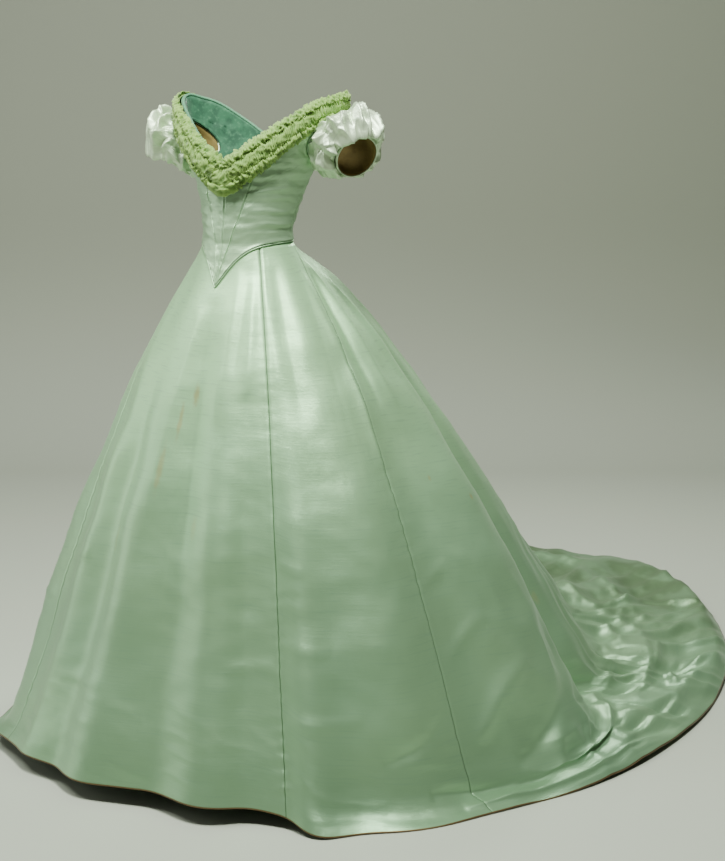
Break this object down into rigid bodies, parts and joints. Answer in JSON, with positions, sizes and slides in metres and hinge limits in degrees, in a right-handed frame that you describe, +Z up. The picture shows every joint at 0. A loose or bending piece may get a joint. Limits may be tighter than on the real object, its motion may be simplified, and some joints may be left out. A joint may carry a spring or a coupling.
{
  "type": "ball gown",
  "caption": "Full-length satin ball gown filled out as if worn, with a V neck edged in ruched tulle, short puffed sleeves, a pointed bodice and a long train on the floor",
  "frame": {"origin": "The middle of the waist opening, at the height of the seam between bodice and skirt, where the wearer's waist carries the gown", "axes": "+X is towards the wearer's left, +Y is backwards, the way the train runs, and +Z is up, from the hem to the neckline"},
  "size_m": [1.597, 2.18, 1.3716],
  "materials": {
    "satin": "pale green silk satin with a soft sheen",
    "bodice_lining": "matt teal cotton",
    "sleeve_lining": "matt brown cotton",
    "tulle": "matt yellow-green silk tulle, gathered"
  },
  "bodies": {
    "root": {"skirt_front": "satin", "skirt_side_left": "satin", "skirt_side_right": "satin", "skirt_back_left": "satin", "skirt_back_right": "satin", "bodice_front_left": "satin", "bodice_front_right": "satin", "bodice_side_front_left": "satin", "bodice_side_front_right": "satin", "bodice_back_left": "satin", "bodice_back_right": "satin", "bodice_piping": "satin", "sleeve_left": "satin", "sleeve_right": "satin", "cuff_band_left": "satin", "cuff_band_right": "satin", "lining_front": "bodice_lining", "lining_back": "bodice_lining", "sleeve_lining_left": "sleeve_lining", "sleeve_lining_right": "sleeve_lining", "bertha_band": "tulle", "bertha_top_frill": "tulle", "bertha_bottom_frill": "tulle"}
  },
  "joints": []
}
